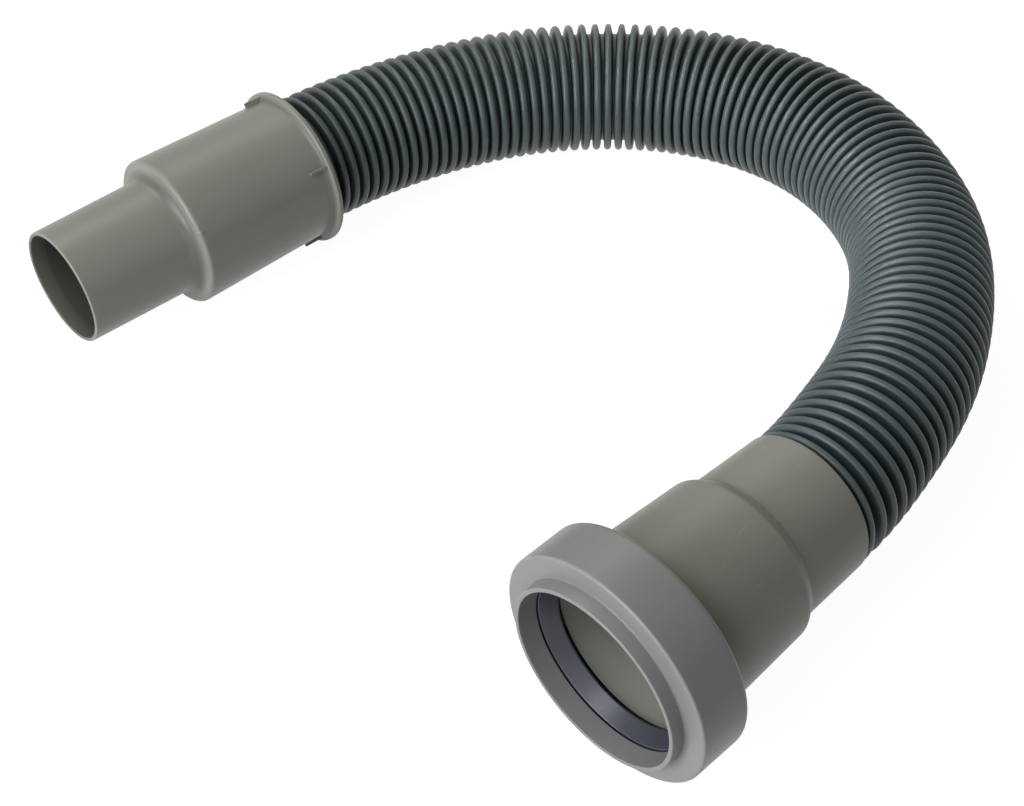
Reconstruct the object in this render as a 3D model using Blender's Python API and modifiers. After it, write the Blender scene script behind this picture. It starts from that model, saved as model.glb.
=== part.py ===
# Flexible drain connector: a corrugated hose bent into a U, with a spigot adaptor on one end and a
# sealed pipe socket on the other. It lies on the plane Z = 0 with both mouths towards -X.
# Each fitting is turned about its own +Z axis, which starts at the hose and points out of its mouth.

import math

import bmesh
import bpy
import numpy as np
from mathutils import Matrix, Vector

MM = 0.001

# Faces around a turned piece, faces in a round of its section, and the points that set the hose's curve
FITTING_SIDES = 32
HOSE_SIDES = 16
ARC_STEPS = 2
SPAN_SAMPLES = 40
GUIDE_STEP = 2.0 * MM
MERGE_DISTANCE = 0.01 * MM

# A round takes at most this share of the shorter of the two sides that meet in it
ROUND_LIMIT = 0.56

# Gap in each glued, snapped or seated joint between two pieces
JOINT_GAP = 0.4 * MM

# Corrugated hose
CREST_RADIUS = 22.4 * MM
RIB_DEPTH = 3.5 * MM
RIB_COUNT = 90
RIBS_PER_BORE_RING = 3
CREST_SHARE = 0.55
HOSE_WALL = 1.2 * MM
CUFF_LENGTH = 24.0 * MM
CUFF_STEP = 1.5 * MM
SOCKET_CUFF_INSET = 2.4 * MM

# Spigot adaptor
SPIGOT_RADIUS = 20.0 * MM
SPIGOT_LENGTH = 40.0 * MM
SPIGOT_DRAFT = 0.4 * MM
SPIGOT_WALL = 1.8 * MM
SPIGOT_ROOT_FILLET = 3.2 * MM
SPIGOT_EDGE_ROUND = 0.6 * MM
SLEEVE_LENGTH = 52.8 * MM
SLEEVE_WALL = 1.95 * MM
SLEEVE_DRAFT = 1.0 * MM
SLEEVE_STOP = 1.0 * MM
SLEEVE_SHOULDER_ROUND = 1.6 * MM
FLANGE_HEIGHT = 2.85 * MM
FLANGE_THICKNESS = 1.8 * MM
FLANGE_EDGE_ROUND = 0.5 * MM
FLANGE_FILLET = 1.5 * MM
GUSSET_COUNT = 4
GUSSET_LENGTH = 6.3 * MM
GUSSET_HEIGHT = 1.9 * MM
GUSSET_THICKNESS = 1.1 * MM
GUSSET_ROOT = 0.8 * MM
GUSSET_TURN = math.radians(32)

# Pipe socket
PIPE_RADIUS = 25.0 * MM
PIPE_GAP = 0.4 * MM
BORE_DRAFT = 0.5 * MM
BODY_LENGTH = 34.6 * MM
BODY_WALL = 2.7 * MM
BODY_DRAFT = 1.8 * MM
BODY_SHOULDER_LENGTH = 3.5 * MM
BODY_SHOULDER_ROUND = 1.4 * MM
TAIL_LENGTH = 25.0 * MM
TAIL_WALL = 2.4 * MM
TAIL_DRAFT = 0.95 * MM
BELL_WALL = 2.2 * MM
BELL_FLOOR = 2.2 * MM
BELL_ROUND = 1.5 * MM

# Retaining cap
CAP_WALL = 2.5 * MM
CAP_LENGTH = 17.0 * MM
CAP_FRONT_WALL = 2.1 * MM
CAP_REAR_ROUND = 1.8 * MM
CAP_FRONT_ROUND = 0.8 * MM
CAP_REAR_LIP = 1.2 * MM
COLLAR_LENGTH = 4.3 * MM
COLLAR_WALL = 2.1 * MM
COLLAR_EDGE_ROUND = 0.6 * MM

# Lip seal
SEAL_BASE = 3.4 * MM
SEAL_LIP_REACH = 1.0 * MM
SEAL_LIP_LENGTH = 4.8 * MM
SEAL_LIP_WALL = 1.3 * MM
SEAL_MOUTH_GAP = 1.5 * MM

# Where the pieces lie: the hose's ends in plan, the turn and rise of the spigot's axis, and the
# points that the hose passes between its ends, as X, Y and the height of its underside.
SPIGOT_END = (-34.4 * MM, 116.9 * MM)
SOCKET_END = (-32.4 * MM, -108.7 * MM)
SPIGOT_TURN = math.radians(2.2)
SPIGOT_RISE = math.radians(1.7)
ROUTE = [
    (5.3 * MM, 112.3 * MM, 2.9 * MM),
    (46.7 * MM, 97.5 * MM, 1.0 * MM),
    (77.8 * MM, 74.3 * MM, 0.1 * MM),
    (94.9 * MM, 50.7 * MM, 0.5 * MM),
    (105.7 * MM, -3.8 * MM, 2.7 * MM),
    (84.8 * MM, -55.4 * MM, 4.7 * MM),
    (60.1 * MM, -77.5 * MM, 8.4 * MM),
    (24.3 * MM, -97.0 * MM, 11.8 * MM),
    (-3.8 * MM, -105.0 * MM, 13.4 * MM),
]

# Sizes that follow from the ones above
ROOT_RADIUS = CREST_RADIUS - RIB_DEPTH
HOSE_BORE_RADIUS = ROOT_RADIUS - HOSE_WALL
SPIGOT_CUFF_RADIUS = CREST_RADIUS
SOCKET_CUFF_RADIUS = CREST_RADIUS - SOCKET_CUFF_INSET
SLEEVE_BORE_RADIUS = SPIGOT_CUFF_RADIUS + JOINT_GAP
SLEEVE_RADIUS = SLEEVE_BORE_RADIUS + SLEEVE_WALL
FLANGE_RADIUS = SLEEVE_RADIUS + FLANGE_HEIGHT
TAIL_BORE_RADIUS = SOCKET_CUFF_RADIUS + JOINT_GAP
TAIL_RADIUS = TAIL_BORE_RADIUS + TAIL_WALL
PIPE_BORE_RADIUS = PIPE_RADIUS + PIPE_GAP
BODY_RADIUS = PIPE_BORE_RADIUS + BODY_WALL
BODY_START = TAIL_LENGTH + BODY_SHOULDER_LENGTH
CAP_START = BODY_START + BODY_LENGTH
CAP_FACE = CAP_START + CAP_LENGTH
MOUTH = CAP_FACE + COLLAR_LENGTH
BELL_END = CAP_FACE - CAP_FRONT_WALL - JOINT_GAP
COLLAR_BORE_RADIUS = PIPE_RADIUS + SEAL_MOUTH_GAP + PIPE_GAP
SEAL_LIP_RADIUS = PIPE_RADIUS - SEAL_LIP_REACH
SEAL_RADIUS = COLLAR_BORE_RADIUS + SEAL_BASE
BELL_BORE_RADIUS = SEAL_RADIUS + JOINT_GAP
BELL_RADIUS = BELL_BORE_RADIUS + BELL_WALL
CAP_BORE_RADIUS = BELL_RADIUS + JOINT_GAP
CAP_RADIUS = CAP_BORE_RADIUS + CAP_WALL
BELL_START = CAP_START + CAP_REAR_LIP + JOINT_GAP
CHAMBER_START = BELL_START + BELL_FLOOR


def srgb(red, green, blue):
    """A linear Blender colour from 8-bit display values."""
    def linear(value):
        share = value / 255
        return share / 12.92 if share <= 0.04045 else ((share + 0.055) / 1.055) ** 2.4
    return (linear(red), linear(green), linear(blue), 1.0)


def make_material(name, colour, roughness):
    material = bpy.data.materials.new(name)
    material.use_nodes = True
    shader = material.node_tree.nodes["Principled BSDF"]
    shader.inputs["Base Color"].default_value = colour
    shader.inputs["Roughness"].default_value = roughness
    shader.inputs["Metallic"].default_value = 0.0
    return material


def outline(corners):
    """Points of a closed section. A corner is a radius, a height and the round it is given."""
    points = []
    for index, (radius, height, fillet) in enumerate(corners):
        corner = Vector((radius, height))
        if not fillet:
            points.append(corner)
            continue
        before = Vector(corners[index - 1][:2]) - corner
        after = Vector(corners[(index + 1) % len(corners)][:2]) - corner
        half = before.angle(after) / 2
        reach = min(fillet / math.tan(half), ROUND_LIMIT * min(before.length, after.length))
        centre = corner + (before.normalized() + after.normalized()).normalized() * (reach / math.cos(half))
        first = corner + before.normalized() * reach - centre
        last = corner + after.normalized() * reach - centre
        for step in range(ARC_STEPS + 1):
            spoke = first.slerp(last, step / ARC_STEPS)
            points.append(centre + spoke.normalized() * first.length)
    return points


def turned(name, points, sides, material, collection):
    """A closed section, drawn down its outer side and up its bore, turned about Z."""
    mesh = bpy.data.meshes.new(name)
    vertices = [(radius, 0.0, height) for radius, height in points]
    edges = [(index, (index + 1) % len(points)) for index in range(len(points))]
    mesh.from_pydata(vertices, edges, [])
    mesh.materials.append(material)
    piece = bpy.data.objects.new(name, mesh)
    collection.objects.link(piece)
    screw = piece.modifiers.new("turn", "SCREW")
    screw.steps = sides
    screw.render_steps = sides
    screw.use_merge_vertices = True
    screw.merge_threshold = MERGE_DISTANCE
    screw.use_smooth_shade = True
    return piece


def axis_matrix(origin, direction):
    """Puts a turned piece at origin with its +Z along direction and its +X level."""
    level = Vector((0, 0, 1)).cross(direction).normalized()
    upright = direction.cross(level)
    turn = Matrix((level, upright, direction)).transposed().to_4x4()
    return Matrix.Translation(origin) @ turn


def smooth_route(points, first_way, last_way, step):
    """Points at even steps on the cubic spline through the given ones, with its end directions set."""
    points = np.array(points)
    spans = np.linalg.norm(np.diff(points, axis=0), axis=1)
    count = len(points)
    system = np.eye(count)
    slopes = np.zeros((count, 3))
    slopes[0], slopes[-1] = first_way, last_way
    for index in range(1, count - 1):
        back, ahead = spans[index - 1], spans[index]
        system[index, index - 1:index + 2] = (ahead, 2 * (back + ahead), back)
        rise = (points[index] - points[index - 1]) / back
        next_rise = (points[index + 1] - points[index]) / ahead
        slopes[index] = 3 * (ahead * rise + back * next_rise)
    slopes = np.linalg.solve(system, slopes)
    fine = []
    for index, span in enumerate(spans):
        for t in np.linspace(0, 1, SPAN_SAMPLES + 1)[index > 0:]:
            value = (2 * t**3 - 3 * t**2 + 1) * points[index] + (3 * t**2 - 2 * t**3) * points[index + 1]
            value += span * ((t**3 - 2 * t**2 + t) * slopes[index] + (t**3 - t**2) * slopes[index + 1])
            fine.append(value)
    fine = np.array(fine)
    run = np.concatenate([[0], np.cumsum(np.linalg.norm(np.diff(fine, axis=0), axis=1))])
    stops = np.linspace(0, run[-1], max(2, round(run[-1] / step)) + 1)
    return np.stack([np.interp(stops, run, fine[:, axis]) for axis in range(3)], axis=1), run[-1]


def make_guide(points, collection):
    """The hose's centreline, as a guide that bends it."""
    curve = bpy.data.curves.new("hose_route", "CURVE")
    curve.dimensions = "3D"
    curve.twist_mode = "Z_UP"
    spline = curve.splines.new("POLY")
    spline.points.add(len(points) - 1)
    for slot, point in zip(spline.points, points):
        slot.co = (*point, 1.0)
    guide = bpy.data.objects.new("hose_route", curve)
    guide.hide_render = True
    guide.display_type = "WIRE"
    collection.objects.link(guide)
    return guide


def make_hose(guide, visible_length, material, collection):
    """The bellows and its two cuffs, modelled straight along Z and bent along the guide."""
    pitch = visible_length / RIB_COUNT
    start = CUFF_LENGTH
    end = start + visible_length
    crest_half = pitch * CREST_SHARE / 2
    points = [
        (SOCKET_CUFF_RADIUS, end + CUFF_LENGTH),
        (SOCKET_CUFF_RADIUS, end + JOINT_GAP),
    ]
    for rib in reversed(range(RIB_COUNT)):
        middle = start + (rib + 0.5) * pitch
        points.append((ROOT_RADIUS, middle + pitch / 2))
        points.append((CREST_RADIUS, middle + crest_half))
        points.append((CREST_RADIUS, middle - crest_half))
    points += [
        (ROOT_RADIUS, start),
        (SPIGOT_CUFF_RADIUS, start - CUFF_STEP),
        (SPIGOT_CUFF_RADIUS, 0.0),
        (SPIGOT_CUFF_RADIUS - HOSE_WALL, 0.0),
        (SPIGOT_CUFF_RADIUS - HOSE_WALL, start - CUFF_STEP - HOSE_WALL),
    ]
    for rib in range(0, RIB_COUNT, RIBS_PER_BORE_RING):
        points.append((HOSE_BORE_RADIUS, start + rib * pitch))
    points += [
        (HOSE_BORE_RADIUS, end),
        (SOCKET_CUFF_RADIUS - HOSE_WALL, end + HOSE_WALL),
        (SOCKET_CUFF_RADIUS - HOSE_WALL, end + CUFF_LENGTH),
    ]
    hose = turned("corrugated_hose", points, HOSE_SIDES, material, collection)
    bend = hose.modifiers.new("bend", "CURVE")
    bend.object = guide
    bend.deform_axis = "POS_Z"
    return hose


def make_gusset(index, cutters):
    """One small fin that stiffens the flange against the sleeve."""
    low = SLEEVE_RADIUS - GUSSET_ROOT
    high = SLEEVE_RADIUS + GUSSET_HEIGHT
    bottom = FLANGE_THICKNESS / 2
    top = FLANGE_THICKNESS + GUSSET_LENGTH
    mesh = bpy.data.meshes.new(f"gusset_{index}")
    box = bmesh.new()
    bmesh.ops.create_cube(box, size=1.0)
    bmesh.ops.scale(box, vec=(high - low, GUSSET_THICKNESS, top - bottom), verts=box.verts)
    bmesh.ops.translate(box, vec=((high + low) / 2, 0, (top + bottom) / 2), verts=box.verts)
    turn = Matrix.Rotation(GUSSET_TURN + index * math.tau / GUSSET_COUNT, 3, "Z")
    bmesh.ops.rotate(box, cent=(0, 0, 0), matrix=turn, verts=box.verts)
    box.to_mesh(mesh)
    box.free()
    gusset = bpy.data.objects.new(f"gusset_{index}", mesh)
    gusset.hide_render = True
    gusset.display_type = "WIRE"
    cutters.objects.link(gusset)
    return gusset


def make_adaptor(material, collection, cutters):
    """Spigot, shoulder, sleeve and flange as one moulding, with its gussets joined on."""
    shoulder = SLEEVE_LENGTH
    mouth = SLEEVE_LENGTH + SPIGOT_LENGTH
    wide = SLEEVE_RADIUS + SLEEVE_DRAFT
    mouth_radius = SPIGOT_RADIUS - SPIGOT_DRAFT
    bore = mouth_radius - SPIGOT_WALL
    seat = CUFF_LENGTH + JOINT_GAP
    inner = SLEEVE_BORE_RADIUS - SLEEVE_STOP
    corners = [
        (mouth_radius, mouth, SPIGOT_EDGE_ROUND),
        (SPIGOT_RADIUS, shoulder, SPIGOT_ROOT_FILLET),
        (wide, shoulder, SLEEVE_SHOULDER_ROUND),
        (SLEEVE_RADIUS, FLANGE_THICKNESS, FLANGE_FILLET),
        (FLANGE_RADIUS, FLANGE_THICKNESS, FLANGE_EDGE_ROUND),
        (FLANGE_RADIUS, 0.0, FLANGE_EDGE_ROUND),
        (SLEEVE_BORE_RADIUS, 0.0, 0.0),
        (SLEEVE_BORE_RADIUS, seat, 0.0),
        (inner, seat, 0.0),
        (inner, shoulder - SLEEVE_WALL - (inner - bore), 0.0),
        (bore, shoulder - SLEEVE_WALL, 0.0),
        (bore, mouth, 0.0),
    ]
    adaptor = turned("spigot_adaptor", outline(corners), FITTING_SIDES, material, collection)
    for index in range(GUSSET_COUNT):
        join = adaptor.modifiers.new(f"gusset_{index}", "BOOLEAN")
        join.operation = "UNION"
        join.solver = "EXACT"
        join.object = make_gusset(index, cutters)
        join.object.parent = adaptor
    return adaptor


def make_socket(material, collection):
    """Tail, shoulder, pipe socket and the bell that holds the seal, as one moulding."""
    bore_end = PIPE_BORE_RADIUS - BORE_DRAFT
    stop = CUFF_LENGTH + JOINT_GAP
    corners = [
        (BELL_RADIUS, BELL_END, 0.0),
        (BELL_RADIUS, BELL_START, BELL_ROUND),
        (BODY_RADIUS, BELL_START, 0.0),
        (BODY_RADIUS, CAP_START, 0.0),
        (BODY_RADIUS - BODY_DRAFT, BODY_START, BODY_SHOULDER_ROUND),
        (TAIL_RADIUS + TAIL_DRAFT, TAIL_LENGTH, BODY_SHOULDER_ROUND),
        (TAIL_RADIUS, 0.0, 0.0),
        (TAIL_BORE_RADIUS, 0.0, 0.0),
        (TAIL_BORE_RADIUS, stop, 0.0),
        (HOSE_BORE_RADIUS, stop, 0.0),
        (HOSE_BORE_RADIUS, BODY_START, 0.0),
        (bore_end, BODY_START + BODY_WALL, 0.0),
        (PIPE_BORE_RADIUS, CHAMBER_START, 0.0),
        (BELL_BORE_RADIUS, CHAMBER_START, 0.0),
        (BELL_BORE_RADIUS, BELL_END, 0.0),
    ]
    return turned("socket_body", outline(corners), FITTING_SIDES, material, collection)


def make_cap(material, collection):
    """The ring over the bell, with the collar that stands out of its front."""
    inner_face = CAP_FACE - CAP_FRONT_WALL
    collar = COLLAR_BORE_RADIUS + COLLAR_WALL
    lip = BODY_RADIUS + JOINT_GAP
    corners = [
        (collar, MOUTH, COLLAR_EDGE_ROUND),
        (collar, CAP_FACE, COLLAR_EDGE_ROUND),
        (CAP_RADIUS, CAP_FACE, CAP_FRONT_ROUND),
        (CAP_RADIUS, CAP_START, CAP_REAR_ROUND),
        (lip, CAP_START, 0.0),
        (lip, CAP_START + CAP_REAR_LIP, 0.0),
        (CAP_BORE_RADIUS, CAP_START + CAP_REAR_LIP, 0.0),
        (CAP_BORE_RADIUS, inner_face, 0.0),
        (COLLAR_BORE_RADIUS, inner_face, 0.0),
        (COLLAR_BORE_RADIUS, MOUTH, COLLAR_EDGE_ROUND),
    ]
    return turned("retaining_cap", outline(corners), FITTING_SIDES, material, collection)


def make_seal(material, collection):
    """A rubber ring in the bell, with one lip that slopes inwards from the collar to the pipe."""
    bottom = CHAMBER_START + JOINT_GAP
    top = CAP_FACE - CAP_FRONT_WALL - JOINT_GAP
    lip_end = top - SEAL_LIP_LENGTH
    corners = [
        (SEAL_RADIUS, top, 0.0),
        (SEAL_RADIUS, bottom, 0.0),
        (COLLAR_BORE_RADIUS + SEAL_LIP_WALL, bottom, 0.0),
        (COLLAR_BORE_RADIUS + SEAL_LIP_WALL, top - 2 * SEAL_LIP_WALL, 0.0),
        (SEAL_LIP_RADIUS + SEAL_LIP_WALL / 2, lip_end - SEAL_LIP_WALL / 2, 0.0),
        (SEAL_LIP_RADIUS, lip_end, 0.0),
        (COLLAR_BORE_RADIUS, top, 0.0),
    ]
    return turned("lip_seal", outline(corners), FITTING_SIDES, material, collection)


def main():
    for old in list(bpy.data.objects):
        bpy.data.objects.remove(old, do_unlink=True)
    parts = bpy.data.collections.new("flexible_drain_connector")
    cutters = bpy.data.collections.new("cutters_and_guides")
    bpy.context.scene.collection.children.link(parts)
    bpy.context.scene.collection.children.link(cutters)

    adaptor_grey = make_material("adaptor_grey", srgb(124, 126, 116), 0.5)
    socket_grey = make_material("socket_grey", srgb(122, 121, 113), 0.5)
    cap_grey = make_material("cap_grey", srgb(128, 130, 128), 0.5)
    hose_slate = make_material("hose_slate", srgb(62, 72, 73), 0.4)
    seal_rubber = make_material("seal_rubber", srgb(44, 47, 58), 0.45)

    spigot_out = Vector((
        -math.cos(SPIGOT_RISE) * math.cos(SPIGOT_TURN),
        math.cos(SPIGOT_RISE) * math.sin(SPIGOT_TURN),
        math.sin(SPIGOT_RISE),
    ))
    socket_out = Vector((-1, 0, 0))
    spigot_end = Vector((*SPIGOT_END, FLANGE_RADIUS * math.cos(SPIGOT_RISE)))
    socket_end = Vector((*SOCKET_END, CAP_RADIUS))

    passed = [(x, y, CREST_RADIUS + lift) for x, y, lift in ROUTE]
    centreline, visible_length = smooth_route(
        [spigot_end, *passed, socket_end], -spigot_out, socket_out, GUIDE_STEP)
    cuff_start = spigot_end + spigot_out * CUFF_LENGTH
    cuff_end = socket_end + socket_out * CUFF_LENGTH
    guide = make_guide([cuff_start, *centreline, cuff_end], cutters)

    make_hose(guide, visible_length, hose_slate, parts)
    adaptor = make_adaptor(adaptor_grey, parts, cutters)
    adaptor.matrix_world = axis_matrix(spigot_end, spigot_out)
    for piece in (
        make_socket(socket_grey, parts),
        make_cap(cap_grey, parts),
        make_seal(seal_rubber, parts),
    ):
        piece.matrix_world = axis_matrix(socket_end, socket_out)
    bpy.context.view_layer.update()


main()
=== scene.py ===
import math

import bmesh
import bpy
import numpy as np
from mathutils import Matrix, Vector


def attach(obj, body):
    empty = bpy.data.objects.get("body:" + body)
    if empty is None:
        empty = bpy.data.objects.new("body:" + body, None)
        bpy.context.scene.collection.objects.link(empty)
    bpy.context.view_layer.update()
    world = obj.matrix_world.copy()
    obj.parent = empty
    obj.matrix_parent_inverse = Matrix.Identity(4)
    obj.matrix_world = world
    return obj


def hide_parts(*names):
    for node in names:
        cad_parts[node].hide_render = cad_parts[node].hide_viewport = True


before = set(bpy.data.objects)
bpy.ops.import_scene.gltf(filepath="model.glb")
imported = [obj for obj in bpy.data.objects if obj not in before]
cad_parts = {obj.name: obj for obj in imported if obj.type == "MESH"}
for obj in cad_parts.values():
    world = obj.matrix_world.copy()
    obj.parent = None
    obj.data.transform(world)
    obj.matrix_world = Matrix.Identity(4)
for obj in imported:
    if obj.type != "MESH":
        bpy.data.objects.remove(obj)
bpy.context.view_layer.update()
print("drain connector: frame loaded")

mm = 0.001
sharpAngle = math.radians(50)   # edges sharper than this aren't smoothed

# where the pieces lie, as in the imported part
layout = {
    "spigotEnd": (-34.4, 116.9, 27.588),   # start of the hose, in the flange's plane
    "spigotTurn": 2.2,                     # degrees away from -X, towards +Y
    "spigotRise": 1.7,                     # degrees above level
    "socketEnd": (-32.4, -108.7, 35.8),    # end of the hose, in the tail's end plane
    "route": [                             # centreline between them
        (5.3, 112.3, 25.3),
        (46.7, 97.5, 23.4),
        (77.8, 74.3, 22.5),
        (94.9, 50.7, 22.9),
        (105.7, -3.8, 25.1),
        (84.8, -55.4, 27.1),
        (60.1, -77.5, 30.8),
        (24.3, -97.0, 34.2),
        (-3.8, -105.0, 35.8),
    ],
}

camera = {
    "place": (-313.93, -305.64, 439.23),
    "turn": (43.097, 1.830, -43.473),
    "lens": 65.855,
    "sensor": 36.0,
}


def makeCamera():
    data = bpy.data.cameras.new("camera")
    data.sensor_fit = "HORIZONTAL"
    data.sensor_width = camera["sensor"]
    data.lens = camera["lens"]
    data.clip_start = 0.01
    data.clip_end = 20
    eye = bpy.data.objects.new("camera", data)
    eye.location = Vector(camera["place"]) * mm
    eye.rotation_euler = [math.radians(a) for a in camera["turn"]]
    bpy.context.scene.collection.objects.link(eye)
    bpy.context.scene.camera = eye


makeCamera()
print("drain connector: camera set")


# ways out of the two mouths
rise = math.radians(layout["spigotRise"])
turn = math.radians(layout["spigotTurn"])
spigotOut = Vector((-math.cos(rise) * math.cos(turn), math.cos(rise) * math.sin(turn), math.sin(rise)))
socketOut = Vector((-1, 0, 0))
spigotEnd = Vector(layout["spigotEnd"]) * mm
socketEnd = Vector(layout["socketEnd"]) * mm


def smoothLine(points, firstWay, lastWay, step):
    # cubic spline through the points, with its end directions set, read at even steps
    fineSteps = 60   # between two points
    points = np.array(points)
    spans = np.linalg.norm(np.diff(points, axis=0), axis=1)
    count = len(points)
    system = np.eye(count)
    slopes = np.zeros((count, 3))
    slopes[0], slopes[-1] = firstWay, lastWay
    for i in range(1, count - 1):
        back, ahead = spans[i - 1], spans[i]
        system[i, i - 1:i + 2] = (ahead, 2 * (back + ahead), back)
        pull = ahead * (points[i] - points[i - 1]) / back + back * (points[i + 1] - points[i]) / ahead
        slopes[i] = 3 * pull
    slopes = np.linalg.solve(system, slopes)
    fine = []
    for i, span in enumerate(spans):
        for t in np.linspace(0, 1, fineSteps + 1)[i > 0:]:
            spot = (2 * t**3 - 3 * t**2 + 1) * points[i] + (3 * t**2 - 2 * t**3) * points[i + 1]
            spot += span * ((t**3 - 2 * t**2 + t) * slopes[i] + (t**3 - t**2) * slopes[i + 1])
            fine.append(spot)
    fine = np.array(fine)
    run = np.concatenate([[0], np.cumsum(np.linalg.norm(np.diff(fine, axis=0), axis=1))])
    stops = np.linspace(0, run[-1], max(2, round(run[-1] / step)) + 1)
    return np.stack([np.interp(stops, run, fine[:, k]) for k in range(3)], axis=1), run[-1]


def linkMesh(name, grid, relief, material):
    # a closed skin over rings of points
    # relief, one number a ring: below 0 painted shade in a groove, 0 on a plain side, above 0 wear with a
    # painted highlight where worn or scraped
    rings, sides = len(grid), len(grid[0])
    vertices = [tuple(p) for ring in grid for p in ring]
    faces = []
    for i in range(rings):
        j = (i + 1) % rings
        for k in range(sides):
            n = (k + 1) % sides
            faces.append((i * sides + k, i * sides + n, j * sides + n, j * sides + k))
    mesh = bpy.data.meshes.new(name)
    mesh.from_pydata(vertices, [], faces)
    mesh.materials.append(material)
    mesh.shade_smooth()
    marks = mesh.attributes.new("relief", "FLOAT", "POINT")
    marks.data.foreach_set("value", np.repeat(relief, sides))
    piece = bpy.data.objects.new(name, mesh)
    bpy.context.scene.collection.objects.link(piece)
    return piece


def roundedSection(corners, steps):
    # closed outline in radius and height with its relief
    # a corner is radius, height, rounding, and if need be its own relief and that of the flats beside it
    points = []
    hold = 0.2          # a ring this close to each round keeps the flats between them flat
    roundShare = 0.56   # the most of a side that one round may take
    for i, (radius, height, fillet, *given) in enumerate(corners):
        corner = Vector((radius, height))
        before = Vector(corners[i - 1][:2]) - corner
        after = Vector(corners[(i + 1) % len(corners)][:2]) - corner
        half = before.angle(after) / 2
        reach = min(fillet / math.tan(half), roundShare * min(before.length, after.length))
        outward = before.x * after.y > before.y * after.x
        # unless given, an outward round gets wear with a painted highlight and an inward round gets painted
        # shade
        peak = given[0] if given else (1 if outward else -1)
        flat = given[1] if len(given) > 1 else 0
        if before.length > 2 * (reach + hold):
            points.append((corner + before.normalized() * (reach + hold), flat))
        if fillet:
            inward = (before.normalized() + after.normalized()).normalized()
            centre = corner + inward * (reach / math.cos(half))
            first = corner + before.normalized() * reach - centre
            last = corner + after.normalized() * reach - centre
            for step in range(steps + 1):
                spoke = first.slerp(last, step / steps)
                fade = math.sin(math.pi * step / steps)
                points.append((centre + spoke.normalized() * first.length, flat + (peak - flat) * fade))
        else:
            points.append((corner, flat))
        if after.length > 2 * (reach + hold):
            points.append((corner + after.normalized() * (reach + hold), flat))
    return points


def axisMatrix(origin, direction):
    level = Vector((0, 0, 1)).cross(direction).normalized()
    upright = direction.cross(level)
    return Matrix.Translation(origin) @ Matrix((level, upright, direction)).transposed().to_4x4()


def turnedPiece(name, corners, size, place, material):
    # corners in millimetres, from the mouth down the outer side and back up the bore
    roundSteps = 6
    angles = [k * math.tau / size["sides"] for k in range(size["sides"])]
    nib, nibAngles = size.get("nib"), []   # two small nibs where the halves of the mould met
    if nib:
        half = math.radians(nib["half"])
        nibAngles = [math.radians(nib["turn"]) + k * math.pi for k in range(2)]
        for middle in nibAngles:
            angles = [a for a in angles if abs(a - middle) > 3 * half]
            angles += [middle - half, middle, middle + half]
    angles.sort()
    grid, relief = [], []
    for point, edge in roundedSection(corners, roundSteps):
        ring = []
        for a in angles:
            radius = point.x
            if a in nibAngles:
                radius += nib["rise"] * math.exp(-((point.y - nib["height"]) / nib["length"]) ** 2)
            ring.append(place @ (Vector((radius * math.cos(a), radius * math.sin(a), point.y)) * mm))
        grid.append(ring)
        relief.append(edge)
    piece = linkMesh(name, grid[::-1], relief[::-1], material)
    piece.data.set_sharp_from_angle(angle=sharpAngle)
    return piece


# shader groups


def newGroup(name, inputs, outputs):
    group = bpy.data.node_groups.new(name, "ShaderNodeTree")
    for label, kind, value in inputs:
        entrance = group.interface.new_socket(name=label, in_out="INPUT", socket_type=kind)
        entrance.default_value = value
    for label, kind in outputs:
        group.interface.new_socket(name=label, in_out="OUTPUT", socket_type=kind)
    entry = group.nodes.new("NodeGroupInput")
    leave = group.nodes.new("NodeGroupOutput")
    return group, entry, leave


def addNode(tree, kind, **settings):
    node = tree.nodes.new(kind)
    for key, value in settings.items():
        if key in node.inputs:
            node.inputs[key].default_value = value
        else:
            setattr(node, key, value)
    return node


def multiply(tree, first, second):
    node = addNode(tree, "ShaderNodeMath", operation="MULTIPLY")
    tree.links.new(first, node.inputs[0])
    tree.links.new(second, node.inputs[1])
    return node


def makeMouldedGroup():
    # fine moulded grain, slow drift of tone, and a slight change of gloss
    group, entry, leave = newGroup(
        "mouldedSurface",
        [("Grain Scale", "NodeSocketFloat", 1500.0), ("Drift Scale", "NodeSocketFloat", 25.0)],
        [("Height", "NodeSocketFloat"), ("Drift", "NodeSocketFloat"), ("Gloss", "NodeSocketFloat")],
    )
    tree, link = group, group.links.new
    place = addNode(tree, "ShaderNodeTexCoord")
    grain = addNode(tree, "ShaderNodeTexNoise", Detail=4.0, Roughness=0.6)
    ripple = addNode(tree, "ShaderNodeTexNoise", Scale=90.0, Detail=2.0)
    drift = addNode(tree, "ShaderNodeTexNoise", Detail=3.0, Roughness=0.55)
    blend = addNode(tree, "ShaderNodeMath", operation="MULTIPLY_ADD")
    gloss = addNode(tree, "ShaderNodeMapRange")
    for node in (grain, ripple, drift):
        link(place.outputs["Object"], node.inputs["Vector"])
    link(entry.outputs["Grain Scale"], grain.inputs["Scale"])
    link(entry.outputs["Drift Scale"], drift.inputs["Scale"])
    link(ripple.outputs["Fac"], blend.inputs[0])
    blend.inputs[1].default_value = 2.5
    link(grain.outputs["Fac"], blend.inputs[2])
    link(grain.outputs["Fac"], gloss.inputs["Value"])
    gloss.inputs["From Min"].default_value = 0.3
    gloss.inputs["From Max"].default_value = 0.7
    link(blend.outputs[0], leave.inputs["Height"])
    link(drift.outputs["Fac"], leave.inputs["Drift"])
    link(gloss.outputs["Result"], leave.inputs["Gloss"])
    return group


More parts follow.
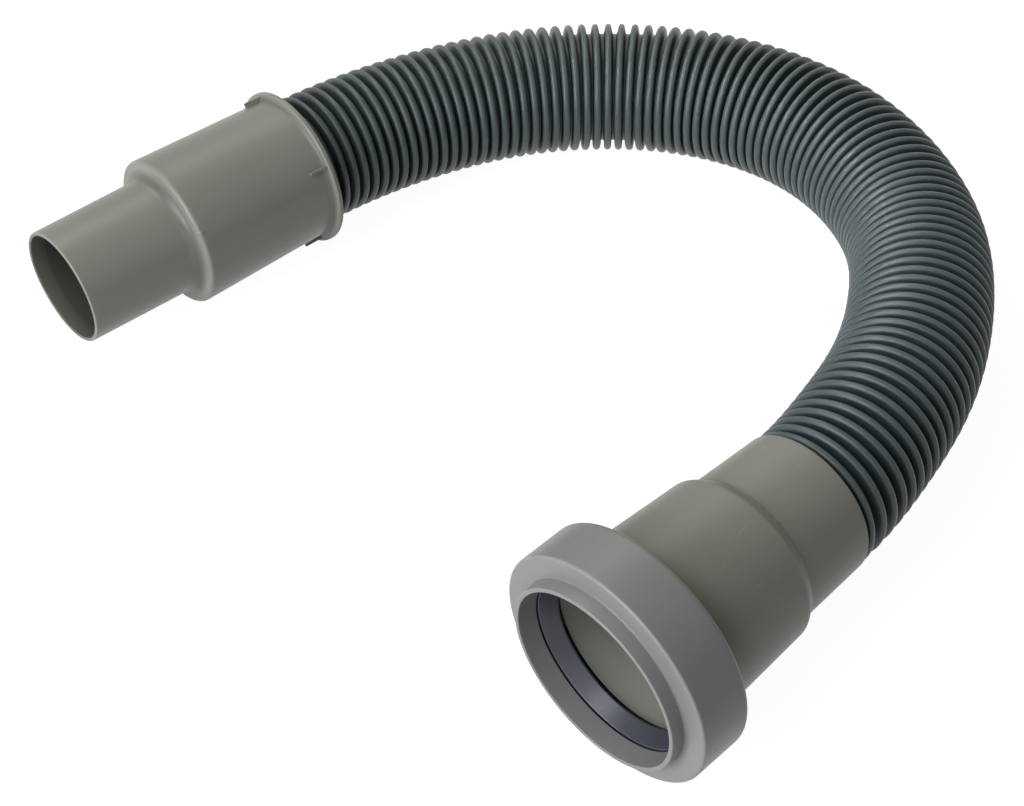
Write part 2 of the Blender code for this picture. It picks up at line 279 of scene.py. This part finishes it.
def makeHandlingGroup():
    # faint scuffs and specks from handling
    group, entry, leave = newGroup(
        "handlingMarks",
        [("Scuffs", "NodeSocketFloat", 0.5), ("Specks", "NodeSocketFloat", 0.5)],
        [("Mask", "NodeSocketFloat")],
    )
    tree, link = group, group.links.new
    place = addNode(tree, "ShaderNodeTexCoord")
    stretch = addNode(tree, "ShaderNodeMapping")
    stretch.inputs["Scale"].default_value = (260, 900, 420)
    stretch.inputs["Rotation"].default_value = (0.4, 0.7, 0.3)
    scuff = addNode(tree, "ShaderNodeTexNoise", Scale=1.0, Detail=3.0, Distortion=0.6)
    patch = addNode(tree, "ShaderNodeTexNoise", Scale=45.0, Detail=2.0)
    speck = addNode(tree, "ShaderNodeTexVoronoi", Scale=420.0)
    cutScuff = addNode(tree, "ShaderNodeMapRange")
    cutPatch = addNode(tree, "ShaderNodeMapRange")
    cutSpeck = addNode(tree, "ShaderNodeMapRange")
    for node, low, high, first, last in (
        (cutScuff, 0.62, 0.74, 0.0, 1.0),
        (cutPatch, 0.5, 0.62, 0.0, 1.0),
        (cutSpeck, 0.03, 0.09, 1.0, 0.0),
    ):
        node.inputs["From Min"].default_value = low
        node.inputs["From Max"].default_value = high
        node.inputs["To Min"].default_value = first
        node.inputs["To Max"].default_value = last
    link(place.outputs["Object"], stretch.inputs["Vector"])
    link(stretch.outputs["Vector"], scuff.inputs["Vector"])
    link(place.outputs["Object"], patch.inputs["Vector"])
    link(place.outputs["Object"], speck.inputs["Vector"])
    link(scuff.outputs["Fac"], cutScuff.inputs["Value"])
    link(patch.outputs["Fac"], cutPatch.inputs["Value"])
    link(speck.outputs["Distance"], cutSpeck.inputs["Value"])
    both = addNode(tree, "ShaderNodeMath", operation="MAXIMUM")
    for index, (cut, label) in enumerate(((cutScuff, "Scuffs"), (cutSpeck, "Specks"))):
        patchy = multiply(tree, cut.outputs["Result"], cutPatch.outputs["Result"])
        amount = multiply(tree, patchy.outputs[0], entry.outputs[label])
        link(amount.outputs[0], both.inputs[index])
    link(both.outputs[0], leave.inputs["Mask"])
    return group


def makeReliefGroup():
    # painted shade in creases, and wear with a painted highlight on edges, from the mesh's own relief,
    # edges broken up a little
    group, entry, leave = newGroup(
        "reliefShadeAndWear",
        [("HollowShade", "NodeSocketFloat", 0.5), ("WearAndPaintedLight", "NodeSocketFloat", 0.3)],
        [("HollowShade", "NodeSocketFloat"), ("WearAndPaintedLight", "NodeSocketFloat")],
    )
    tree, link = group, group.links.new
    relief = addNode(tree, "ShaderNodeAttribute", attribute_name="relief")
    place = addNode(tree, "ShaderNodeTexCoord")
    uneven = addNode(tree, "ShaderNodeTexNoise", Scale=160.0, Detail=3.0)
    link(place.outputs["Object"], uneven.inputs["Vector"])
    hollowShade = addNode(tree, "ShaderNodeMath", operation="MULTIPLY", use_clamp=True)
    hollowShade.inputs[1].default_value = -1
    link(relief.outputs["Fac"], hollowShade.inputs[0])
    edge = multiply(tree, relief.outputs["Fac"], uneven.outputs["Fac"])
    edge.use_clamp = True
    for node, label in ((hollowShade, "HollowShade"), (edge, "WearAndPaintedLight")):
        link(multiply(tree, node.outputs[0], entry.outputs[label]).outputs[0], leave.inputs[label])
    return group


mouldedGroup = makeMouldedGroup()
handlingGroup = makeHandlingGroup()
reliefGroup = makeReliefGroup()


def linear(colour):
    # display values out of 255, made linear, with an alpha of 1
    shares = [value / 255 for value in colour]
    return tuple(s / 12.92 if s < 0.04 else ((s + 0.055) / 1.055) ** 2.4 for s in shares) + (1.0,)


# the same for every plastic
surface = {
    "roughSpread": 0.05,    # either side of a plastic's own roughness
    "scuffDulls": 0.12,     # what a scuff adds to the roughness
    "grainDepth": 0.00005,
}


def makePlastic(name, look):
    # moulded plastic: two tones that drift, painted shade in creases, worn edges with a painted highlight,
    # grain in the bump, scuffs that dull
    material = bpy.data.materials.new(name)
    material.use_nodes = True
    tree, link = material.node_tree, material.node_tree.links.new
    shader = tree.nodes["Principled BSDF"]
    moulded = addNode(tree, "ShaderNodeGroup", node_tree=mouldedGroup)
    moulded.inputs["Grain Scale"].default_value = look["grain"]
    moulded.inputs["Drift Scale"].default_value = look["drift"]
    marks = addNode(tree, "ShaderNodeGroup", node_tree=handlingGroup)
    marks.inputs["Scuffs"].default_value = look["scuffs"]
    marks.inputs["Specks"].default_value = look["specks"]
    relief = addNode(tree, "ShaderNodeGroup", node_tree=reliefGroup)
    relief.inputs["HollowShade"].default_value = look["paintedShadeShare"]
    relief.inputs["WearAndPaintedLight"].default_value = look["edgeShare"]
    tone = addNode(tree, "ShaderNodeMix", data_type="RGBA")
    tone.inputs[6].default_value = linear(look["dark"])
    tone.inputs[7].default_value = linear(look["light"])
    # painted shade: creases, grooves and bores mixed towards the dark shade tone
    hollowShaded = addNode(tree, "ShaderNodeMix", data_type="RGBA")
    hollowShaded.inputs[7].default_value = linear(look["paintedShade"])
    # real scuffs, plus edges with wear and a painted highlight, mixed towards the light tone
    wornAndLitMask = addNode(tree, "ShaderNodeMath", operation="MAXIMUM")
    wornAndLitTone = addNode(tree, "ShaderNodeMix", data_type="RGBA")
    wornAndLitTone.inputs[7].default_value = linear(look["wornAndLitTone"])
    rough = addNode(tree, "ShaderNodeMapRange")
    rough.inputs["To Min"].default_value = look["rough"] - surface["roughSpread"]
    rough.inputs["To Max"].default_value = look["rough"] + surface["roughSpread"]
    dull = addNode(tree, "ShaderNodeMath", operation="MULTIPLY_ADD")
    dull.inputs[1].default_value = surface["scuffDulls"]
    bump = addNode(tree, "ShaderNodeBump")
    bump.inputs["Strength"].default_value = look["bump"]
    bump.inputs["Distance"].default_value = surface["grainDepth"]
    link(moulded.outputs["Drift"], tone.inputs[0])
    link(tone.outputs[2], hollowShaded.inputs[6])
    link(relief.outputs["HollowShade"], hollowShaded.inputs[0])
    link(relief.outputs["WearAndPaintedLight"], wornAndLitMask.inputs[0])
    link(marks.outputs["Mask"], wornAndLitMask.inputs[1])
    link(hollowShaded.outputs[2], wornAndLitTone.inputs[6])
    link(wornAndLitMask.outputs[0], wornAndLitTone.inputs[0])
    link(wornAndLitTone.outputs[2], shader.inputs["Base Color"])
    link(moulded.outputs["Gloss"], rough.inputs["Value"])
    link(marks.outputs["Mask"], dull.inputs[0])
    link(rough.outputs["Result"], dull.inputs[2])
    link(dull.outputs[0], shader.inputs["Roughness"])
    link(moulded.outputs["Height"], bump.inputs["Height"])
    link(bump.outputs["Normal"], shader.inputs["Normal"])
    shader.inputs["Specular IOR Level"].default_value = look["shine"]
    return material


# corrugated hose

hose = {
    "crestRadius": 22.4,
    "rootRadius": 18.9,
    "ribs": 90,
    "crestHalf": 1.12,      # half the rib's width where its rounded tip starts
    "footHalf": 1.38,       # half the rib's width at its foot
    "footRound": 0.45,
    "footMiddle": 0.3,      # where the foot's middle ring lies in its round
    # along the rib: wear with a painted highlight on the tip, painted shade on the flanks, the foot and the
    # groove's floor
    "tipWearAndHighlight": 0.6,
    "sideShade": 0.2,
    "footShade": 0.85,
    "closing": 1.1,         # how far the ribs' tips spread on the inside of the bend
    "wall": 1.1,
    "cuff": 24.0,
    "spigotCuff": 22.4,
    "socketCuff": 20.0,
    "cuffFall": 0.5,        # the cuffs' last ring before the ribs is this much lower
    "endStep": 1.2,
    "lineStep": 1.0,
    "sides": 60,
    "tipSteps": 4,
    "look": {
        "dark": (51, 61, 63), "light": (59, 69, 71), "wornAndLitTone": (108, 118, 119), "paintedShade": (20, 27, 29),
        "paintedShadeShare": 0.7, "edgeShare": 0.3,
        "grain": 2200.0, "drift": 30.0, "scuffs": 0.2, "specks": 0.15,
        "rough": 0.38, "bump": 0.3, "shine": 0.35,
    },
}


def ribSection():
    # half a rib, from its tip to the groove's floor: distance along, radius, share kept upright, relief
    crest, root, half = hose["crestRadius"], hose["rootRadius"], hose["crestHalf"]
    foot, fillet, middle = hose["footHalf"], hose["footRound"], hose["footMiddle"]
    section = []
    for i in range(hose["tipSteps"] + 1):
        a = math.pi / 2 * i / hose["tipSteps"]
        # painted highlight with wear on the tip, painted shade on the flanks
        edge = hose["tipWearAndHighlight"] * math.cos(a)**4 - hose["sideShade"] * math.sin(a)**4
        section.append((half * math.sin(a), crest - half + half * math.cos(a), 1, edge))
    section.append((foot, root + fillet, 0, -hose["footShade"]))
    section.append((foot + middle * fillet, root + middle * fillet, 0, -1))
    section.append((foot + fillet, root, 0, -1))
    return section


def buildHose(material):
    line, length = smoothLine(
        [spigotEnd] + [Vector(p) * mm for p in layout["route"]] + [socketEnd],
        -spigotOut, socketOut, hose["lineStep"] * mm)
    run = np.linspace(0, length, len(line))
    ways = np.gradient(line, run, axis=0)
    ways[0], ways[-1] = -spigotOut, socketOut
    bends = np.gradient(ways, run, axis=0)   # towards the centre of the bend, one over its radius long
    turns = np.linspace(0, math.tau, hose["sides"], endpoint=False)[:, None]
    grid, relief = [], []

    def read(table, s):
        return np.array([np.interp(s, run, table[:, k]) for k in range(3)])

    def addRing(station, along, radius, upright=1, edge=0):
        # a ring at station and along
        # the upright share keeps to the rib's own plane, and the rest turns with the bend
        spot = station + along * (1 - upright) * mm
        s = min(max(spot, 0), length)
        way = read(ways, s)
        way /= np.linalg.norm(way)
        side = np.cross((0, 0, 1), way)
        side /= np.linalg.norm(side)
        spokes = np.cos(turns) * side + np.sin(turns) * np.cross(way, side)
        squeeze = np.maximum(0, spokes @ read(bends, s) * radius * mm)
        shift = (spot - s + along * upright * mm * (1 + hose["closing"] * squeeze))[:, None]
        grid.append(read(line, s) + spokes * radius * mm + way * shift)
        relief.append(edge)

    wall, cuff, step = hose["wall"], hose["cuff"] * mm, hose["endStep"] * mm
    pitch = length / hose["ribs"]
    section = ribSection()
    addRing(-cuff, 0, hose["spigotCuff"])
    addRing(-2 * step, 0, hose["spigotCuff"])
    addRing(-step, 0, hose["spigotCuff"] - hose["cuffFall"])
    addRing(0, 0, hose["rootRadius"], edge=-1)
    for rib in range(hose["ribs"]):
        station = (rib + 0.5) * pitch
        for along, radius, upright, edge in reversed(section[1:]):
            addRing(station, -along, radius, upright, edge)
        for along, radius, upright, edge in section:
            addRing(station, along, radius, upright, edge)
    addRing(length, 0, hose["rootRadius"], edge=-1)
    addRing(length + step, 0, hose["socketCuff"] - hose["cuffFall"])
    addRing(length + 2 * step, 0, hose["socketCuff"])
    addRing(length + cuff, 0, hose["socketCuff"])
    addRing(length + cuff, 0, hose["socketCuff"] - wall)
    addRing(length + step, 0, hose["socketCuff"] - wall)
    for rib in reversed(range(hose["ribs"])):
        addRing((rib + 1) * pitch, 0, hose["rootRadius"] - wall)
        addRing((rib + 0.5) * pitch, 0, hose["crestRadius"] - wall)
    addRing(0, 0, hose["rootRadius"] - wall)
    addRing(-step, 0, hose["spigotCuff"] - wall)
    addRing(-cuff, 0, hose["spigotCuff"] - wall)
    piece = linkMesh("bellows_hose", grid, relief, material)
    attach(piece, "root")
    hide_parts("corrugated_hose")


hoseSlate = makePlastic("hoseSlate", hose["look"])
buildHose(hoseSlate)
print("drain connector: bellows hose built")


# spigot adaptor: heights are measured from the flange's hose side

adaptor = {
    "spigotRadius": 20.0,
    "mouthRadius": 19.6,
    "spigotWall": 1.8,
    "sleeveRadius": 24.75,
    "sleeveWide": 25.75,
    "sleeveLength": 52.8,
    "shoulderWall": 1.95,
    "spigotLength": 40.0,
    "mouthFlare": 0.5,
    "sleeveBore": 22.8,
    "stopBore": 21.8,
    "stopHeight": 24.4,
    "flangeRadius": 27.6,
    "flangeThick": 1.8,
    "rootFillet": 3.2,
    "shoulderRound": 1.6,
    "flangeFillet": 1.5,
    "edgeRound": 0.5,
    "sides": 128,
    "nib": {
        "turn": 32.0, "half": 0.4, "height": 51.6, "rise": 0.35, "length": 0.7,
        "end": 1.4, "in": 0.05,
    },
    "hollowShade": -0.6,         # relief of the fillets, painted shade
    "edge": 0.25,           # relief of the outer edges, wear with a painted highlight
    "boreShades": [(14.0, -0.95), (5.0, -0.8)],   # depth behind the mouth, and the relief there, painted shade in the bore
    "mouthShades": (-0.4, -0.6),
    "look": {
        "dark": (117, 119, 111), "light": (124, 126, 118), "wornAndLitTone": (152, 153, 145), "paintedShade": (38, 40, 35),
        "paintedShadeShare": 0.95, "edgeShare": 0.3,
        "grain": 1600.0, "drift": 22.0, "scuffs": 0.25, "specks": 0.15,
        "rough": 0.38, "bump": 0.3, "shine": 0.35,
    },
}


def buildAdaptor(material):
    size = adaptor
    mouth = size["sleeveLength"] + size["spigotLength"]
    bore = size["mouthRadius"] - size["spigotWall"]
    shoulder = size["sleeveLength"] - size["shoulderWall"]
    nibFoot = size["nib"]["height"] - size["nib"]["end"]   # a ring here ends the nib
    corners = [
        (size["mouthRadius"], mouth, size["edgeRound"]),
        (size["spigotRadius"], size["sleeveLength"], size["rootFillet"], size["hollowShade"]),
        (size["sleeveWide"], size["sleeveLength"], size["shoulderRound"], size["edge"]),
        (size["sleeveWide"] - size["nib"]["in"], nibFoot, 0.0),
        (size["sleeveRadius"], size["flangeThick"], size["flangeFillet"], size["hollowShade"]),
        (size["flangeRadius"], size["flangeThick"], size["edgeRound"], size["edge"]),
        (size["flangeRadius"], 0.0, size["edgeRound"]),
        (size["sleeveBore"], 0.0, 0.3),
        (size["sleeveBore"], size["stopHeight"], 0.0),
        # the bore gets painted shade, deepest at the stop and fading towards the mouth
        (size["stopBore"], size["stopHeight"], 0.0, -1, -1),
        (size["stopBore"], shoulder - (size["stopBore"] - bore), 1.0, -1, -1),
        (bore, shoulder, 1.0, -1, -1),
    ]
    for depth, shade in size["boreShades"]:
        corners.append((bore, mouth - depth, 0.0, shade, shade))
    corners.append((bore + size["mouthFlare"], mouth, 0.4, *size["mouthShades"]))
    place = axisMatrix(spigotEnd, spigotOut)
    piece = turnedPiece("adaptor_moulding", corners, size, place, material)
    names = [f"fin{index}" for index in range(fin["count"])]
    for index, name in enumerate(names):
        join = piece.modifiers.new(name, "BOOLEAN")
        join.operation = "UNION"
        join.solver = "EXACT"
        join.object = makeFin(index, place, material)
    settle(piece, names)
    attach(piece, "root")
    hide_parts("spigot_adaptor")


fin = {
    "count": 4,
    "length": 6.3,
    "height": 1.9,
    "thick": 1.1,
    "sunk": 0.8,            # how far inside the sleeve's skin it starts
    "turn": 32.0,
    "round": 0.25,
    "roundSteps": 3,
}


def makeFin(index, place, material):
    # a small axial fin between the sleeve and the flange
    low = adaptor["sleeveRadius"] - fin["sunk"]
    high = adaptor["sleeveRadius"] + fin["height"]
    bottom = adaptor["flangeThick"] / 2
    top = adaptor["flangeThick"] + fin["length"]
    mesh = bpy.data.meshes.new(f"fin_{index}")
    box = bmesh.new()
    bmesh.ops.create_cube(box, size=1.0)
    bmesh.ops.scale(box, vec=(high - low, fin["thick"], top - bottom), verts=box.verts)
    bmesh.ops.bevel(box, geom=box.edges[:], offset=fin["round"], segments=fin["roundSteps"],
                    affect="EDGES", profile=0.5)
    bmesh.ops.translate(box, vec=((high + low) / 2, 0, (top + bottom) / 2), verts=box.verts)
    spin = Matrix.Rotation(math.radians(fin["turn"]) + index * math.tau / fin["count"], 3, "Z")
    bmesh.ops.rotate(box, cent=(0, 0, 0), matrix=spin, verts=box.verts)
    bmesh.ops.scale(box, vec=(mm, mm, mm), verts=box.verts)
    bmesh.ops.transform(box, matrix=place, verts=box.verts)
    box.to_mesh(mesh)
    box.free()
    mesh.materials.append(material)
    piece = bpy.data.objects.new(f"fin_{index}", mesh)
    bpy.context.scene.collection.objects.link(piece)
    return piece


def settle(piece, names):
    # applies the named modifiers and removes the objects they used
    used = [piece.modifiers[n].object for n in names]
    graph = bpy.context.evaluated_depsgraph_get()
    mesh = bpy.data.meshes.new_from_object(piece.evaluated_get(graph))
    piece.modifiers.clear()
    old, piece.data = piece.data, mesh
    bpy.data.meshes.remove(old)
    for other in used:
        bpy.data.objects.remove(other)
    mesh.shade_smooth()
    mesh.set_sharp_from_angle(angle=sharpAngle)


adaptorGrey = makePlastic("adaptorGrey", adaptor["look"])
buildAdaptor(adaptorGrey)
print("drain connector: spigot adaptor built")


# pipe socket: heights are measured from the tail's end

socket = {
    "tailRadius": 22.8,
    "tailWide": 23.75,
    "tailLength": 25.0,
    "tailBore": 20.4,
    "stopHeight": 24.4,
    "wayThrough": 17.3,
    "bodyStart": 28.5,
    "bodyNarrow": 26.3,
    "bodyRadius": 28.1,
    "bodyEnd": 63.1,
    "bellStart": 64.7,
    "bellRadius": 32.9,
    "bellBore": 30.7,
    "bellEnd": 77.6,
    "chamberStart": 66.9,
    "seatHeight": 3.9,      # rim round the pipe's bore, behind the seal's lip
    "seatWall": 0.8,
    "pipeBore": 25.4,
    "boreEnd": 24.9,
    "boreStart": 31.2,
    "borePaintedLight": 3,          # relief of the pipe's bore, painted light that makes it lighter than the outside
    "bellRound": 1.5,
    "bodyFillet": 3.2,
    "tailFillet": 2.6,
    "edgeRound": 0.5,
    "sides": 128,
    "look": {
        "dark": (118, 117, 110), "light": (125, 124, 116), "wornAndLitTone": (170, 170, 161), "paintedShade": (90, 91, 85),
        "paintedShadeShare": 0.5, "edgeShare": 0.25,
        "grain": 1500.0, "drift": 20.0, "scuffs": 0.15, "specks": 0.1,
        "rough": 0.42, "bump": 0.35, "shine": 0.3,
    },
}


def buildSocket(material):
    size = socket
    seat = size["chamberStart"] + size["seatHeight"]
    corners = [
        (size["bellRadius"], size["bellEnd"], 0.3),
        (size["bellRadius"], size["bellStart"], size["bellRound"]),
        (size["bodyRadius"], size["bellStart"], 0.0),
        (size["bodyRadius"], size["bodyEnd"], 0.0),
        (size["bodyNarrow"], size["bodyStart"], size["bodyFillet"]),
        (size["tailWide"], size["tailLength"], size["tailFillet"]),
        (size["tailRadius"], 0.0, size["edgeRound"]),
        (size["tailBore"], 0.0, 0.3),
        (size["tailBore"], size["stopHeight"], 0.0),
        (size["wayThrough"], size["stopHeight"], 0.6),
        (size["wayThrough"], size["bodyStart"], 0.6),
        (size["boreEnd"], size["boreStart"], 1.0, size["borePaintedLight"], size["borePaintedLight"]),
        (size["pipeBore"], seat, 0.2, size["borePaintedLight"], size["borePaintedLight"]),
        (size["pipeBore"] + size["seatWall"], seat, 0.2),
        (size["pipeBore"] + size["seatWall"], size["chamberStart"], 0.2),
        (size["bellBore"], size["chamberStart"], 0.3),
        (size["bellBore"], size["bellEnd"], 0.3),
    ]
    piece = turnedPiece("socket_moulding", corners, size, axisMatrix(socketEnd, socketOut), material)
    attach(piece, "root")
    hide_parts("socket_body")


socketGrey = makePlastic("socketGrey", socket["look"])
buildSocket(socketGrey)
print("drain connector: socket built")


# retaining cap

cap = {
    "radius": 35.8,
    "start": 63.1,
    "face": 80.1,
    "mouth": 84.4,
    "collarOut": 28.75,
    "collarFoot": 29.1,
    "collarBore": 26.9,
    "mouthBore": 27.5,
    "hollowShade": -0.6,         # relief of the collar's foot, painted shade
    "faceRound": 0.8,
    "backRound": 1.8,
    "innerFace": 78.0,
    "bore": 33.3,
    "lip": 28.5,
    "lipEnd": 64.3,
    "sides": 160,
    "look": {
        "dark": (111, 113, 112), "light": (118, 120, 119), "wornAndLitTone": (146, 148, 147), "paintedShade": (80, 83, 82),
        "paintedShadeShare": 0.5, "edgeShare": 0.4,
        "grain": 1500.0, "drift": 20.0, "scuffs": 0.25, "specks": 0.2,
        "rough": 0.4, "bump": 0.3, "shine": 0.35,
    },
}


def buildCap(material):
    size = cap
    corners = [
        (size["collarOut"], size["mouth"], 0.3),
        (size["collarFoot"], size["face"], 0.5, size["hollowShade"]),
        (size["radius"], size["face"], size["faceRound"]),
        (size["radius"], size["start"], size["backRound"]),
        (size["lip"], size["start"], 0.4),
        (size["lip"], size["lipEnd"], 0.0),
        (size["bore"], size["lipEnd"], 0.0),
        (size["bore"], size["innerFace"], 0.0),
        (size["collarBore"], size["innerFace"], 0.3),
        (size["mouthBore"], size["mouth"], 0.3),
    ]
    piece = turnedPiece("cap_ring", corners, size, axisMatrix(socketEnd, socketOut), material)
    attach(piece, "root")
    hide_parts("retaining_cap")


capGrey = makePlastic("capGrey", cap["look"])
buildCap(capGrey)
print("drain connector: cap built")


# lip seal

seal = {
    "radius": 30.3,
    "bottom": 67.3,
    "top": 77.6,
    "frontRadius": 26.7,
    "lipRadius": 24.0,
    "lipEnd": 72.6,
    "lipWall": 1.3,
    "sides": 160,
    "look": {
        "dark": (40, 43, 51), "light": (46, 49, 58), "wornAndLitTone": (84, 88, 98), "paintedShade": (14, 15, 19),
        "paintedShadeShare": 0.6, "edgeShare": 0.3,
        "grain": 1800.0, "drift": 30.0, "scuffs": 0.15, "specks": 0.1,
        "rough": 0.38, "bump": 0.3, "shine": 0.5,
    },
}


def buildSeal(material):
    size = seal
    wall = size["lipWall"]
    back = size["frontRadius"] + wall
    corners = [
        (size["radius"], size["top"], 0.4),
        (size["radius"], size["bottom"], 0.4),
        (back, size["bottom"], 0.4),
        (back, size["top"] - 2 * wall, 0.5),
        (size["lipRadius"] + wall / 2, size["lipEnd"] - wall / 2, 0.3),
        (size["lipRadius"], size["lipEnd"], 0.4),
        (size["frontRadius"], size["top"], 0.4),
    ]
    piece = turnedPiece("seal_ring", corners, size, axisMatrix(socketEnd, socketOut), material)
    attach(piece, "root")
    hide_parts("lip_seal")


sealRubber = makePlastic("sealRubber", seal["look"])
buildSeal(sealRubber)
print("drain connector: seal built")


# studio

studio = {
    "floorSize": 6.0,
    "floorTone": 0.55,
    "shadowShare": 0.2,
    "glow": 0.95,
    "sky": 0.1,
    "aim": (0, 0, 0.03),
    "lamps": {
        "back": {"place": (0.0, 0.7, 1.0), "size": 0.6, "power": 4.2, "colour": (1.0, 0.98, 0.78)},
        "over": {"place": (-0.8, 0.0, 0.9), "size": 0.6, "power": 5.4, "colour": (0.96, 1.0, 1.05)},
        "side": {"place": (-0.95, 0.1, 0.3), "size": 0.5, "power": 7.2, "colour": (1.0, 0.99, 1.0)},
        "near": {"place": (-0.35, -0.2, 0.15), "size": 0.2, "power": 0.22, "colour": (1.0, 1.0, 1.02)},
        "right": {"place": (0.6, 0.7, 0.9), "size": 0.6, "power": 1.6, "colour": (1.0, 0.99, 0.92)},
        "bend": {"place": (-0.39, 0.37, 0.7), "size": 0.2, "power": 0.24, "colour": (0.98, 1.0, 1.0),
                 "aim": (0.2, -0.08, 0.04), "spread": 25},
    },
}


def pastCamera(tree):
    # 1 for rays that see the background directly, in a mirror or through glass
    path = addNode(tree, "ShaderNodeLightPath")
    glossy = addNode(tree, "ShaderNodeMath", operation="MAXIMUM")
    clear = addNode(tree, "ShaderNodeMath", operation="MAXIMUM")
    tree.links.new(path.outputs["Is Camera Ray"], glossy.inputs[0])
    tree.links.new(path.outputs["Is Glossy Ray"], glossy.inputs[1])
    tree.links.new(glossy.outputs[0], clear.inputs[0])
    tree.links.new(path.outputs["Is Transmission Ray"], clear.inputs[1])
    return clear.outputs[0]


def makeFloor():
    material = bpy.data.materials.new("paleFloor")
    material.use_nodes = True
    tree, link = material.node_tree, material.node_tree.links.new
    tree.nodes.remove(tree.nodes["Principled BSDF"])
    plain = addNode(tree, "ShaderNodeBsdfDiffuse")
    plain.inputs["Color"].default_value = (studio["floorTone"],) * 3 + (1,)
    shade = addNode(tree, "ShaderNodeBsdfDiffuse")
    shade.inputs["Color"].default_value = (studio["shadowShare"],) * 3 + (1,)
    glow = addNode(tree, "ShaderNodeEmission")
    glow.inputs["Strength"].default_value = studio["glow"]
    white = addNode(tree, "ShaderNodeAddShader")
    pick = addNode(tree, "ShaderNodeMixShader")
    link(shade.outputs[0], white.inputs[0])
    link(glow.outputs[0], white.inputs[1])
    link(pastCamera(tree), pick.inputs[0])
    link(plain.outputs[0], pick.inputs[1])
    link(white.outputs[0], pick.inputs[2])
    link(pick.outputs[0], tree.nodes["Material Output"].inputs["Surface"])
    mesh = bpy.data.meshes.new("floor")
    plane = bmesh.new()
    bmesh.ops.create_grid(plane, x_segments=1, y_segments=1, size=studio["floorSize"] / 2)
    plane.to_mesh(mesh)
    plane.free()
    mesh.materials.append(material)
    floor = bpy.data.objects.new("floor", mesh)
    bpy.context.scene.collection.objects.link(floor)


def makeWorld():
    world = bpy.data.worlds.new("studio")
    bpy.context.scene.world = world
    world.use_nodes = True
    tree, link = world.node_tree, world.node_tree.links.new
    back = tree.nodes["Background"]
    tone = addNode(tree, "ShaderNodeMix", data_type="RGBA")
    tone.inputs[6].default_value = (studio["sky"],) * 3 + (1,)
    tone.inputs[7].default_value = (1, 1, 1, 1)
    link(pastCamera(tree), tone.inputs[0])
    link(tone.outputs[2], back.inputs["Color"])


def makeLamps():
    for name, lamp in studio["lamps"].items():
        data = bpy.data.lights.new(name, "AREA")
        data.shape = "DISK"
        data.size = lamp["size"]
        data.energy = lamp["power"]
        data.color = lamp["colour"]
        light = bpy.data.objects.new(name, data)
        light.location = lamp["place"]
        if "spread" in lamp:
            data.spread = math.radians(lamp["spread"])
        aim = Vector(lamp.get("aim", studio["aim"]))
        light.rotation_euler = (aim - Vector(lamp["place"])).to_track_quat("-Z", "Y").to_euler()
        bpy.context.scene.collection.objects.link(light)


makeFloor()
makeWorld()
makeLamps()
scene = bpy.context.scene
scene.view_settings.view_transform = "Standard"
print("drain connector: studio lit")
